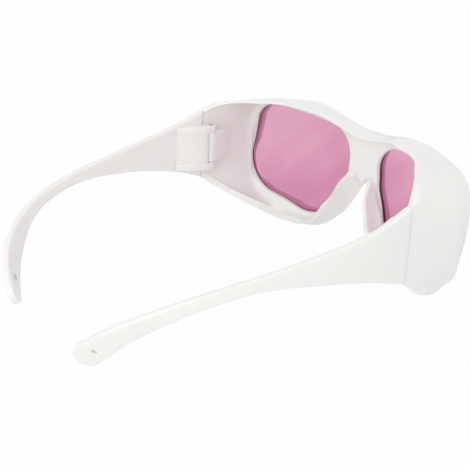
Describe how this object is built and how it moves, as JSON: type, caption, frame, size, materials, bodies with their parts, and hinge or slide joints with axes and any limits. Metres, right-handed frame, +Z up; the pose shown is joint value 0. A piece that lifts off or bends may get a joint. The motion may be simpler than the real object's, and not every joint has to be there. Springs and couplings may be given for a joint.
{
  "type": "fit-over laser safety glasses",
  "caption": "Wrap-around safety glasses with a deep moulded front, brow ledge, side shields, curved tinted lenses in grooves, and folding temples with drilled tips.",
  "frame": {"origin": "middle of the bounding box's base, on the surface that the glasses stand on", "axes": "+Z up; -Y the way the wearer looks; +Y along the temples; +X the wearer's left"},
  "size_m": [0.152, 0.1732, 0.0653],
  "materials": {
    "frame_white": "satin gloss moulded",
    "temple_white": "satin gloss moulded",
    "lens_pink": "polished tinted polycarbonate",
    "pin_steel": "drawn"
  },
  "bodies": {
    "front": {"front_frame": "frame_white", "left_lens": "lens_pink", "right_lens": "lens_pink", "left_hinge_pin": "pin_steel", "right_hinge_pin": "pin_steel"},
    "left_arm": {"left_temple": "temple_white"},
    "right_arm": {"right_temple": "temple_white"}
  },
  "joints": [
    {"name": "left_fold", "type": "hinge", "parent": "front", "child": "left_arm", "pos_m": [0.0691, -0.04131, 0.03973], "axis": [0, 0.0029, 1], "range_deg": [0, 75]},
    {"name": "right_fold", "type": "hinge", "parent": "front", "child": "right_arm", "pos_m": [-0.0691, -0.04131, 0.03973], "axis": [0, -0.0029, -1], "range_deg": [0, 62]}
  ]
}
